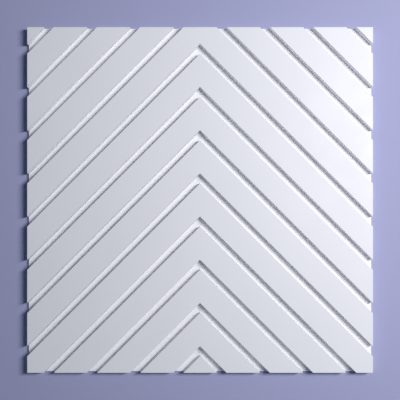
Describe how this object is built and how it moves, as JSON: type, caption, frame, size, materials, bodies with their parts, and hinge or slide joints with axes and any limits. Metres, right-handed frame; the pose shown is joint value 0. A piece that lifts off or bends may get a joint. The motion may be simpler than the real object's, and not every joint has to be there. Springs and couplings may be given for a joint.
{
  "type": "wall panel",
  "caption": "Square white relief wall panel with a flat back and mitred chevron grooves that run out through its edges, butted edge to edge to cover a wall.",
  "frame": {"origin": "middle of the flat back, which lies on the floor", "axes": "+Z out of the grooved face, +Y the way the chevrons point (up on the wall), +X to the right as seen from the front"},
  "size_m": [0.6, 0.6, 0.016],
  "materials": {
    "matt_white": "moulded rigid polymer with a matt, very slightly cool white primer"
  },
  "bodies": {
    "root": {"wall_panel": "matt_white"}
  },
  "joints": []
}
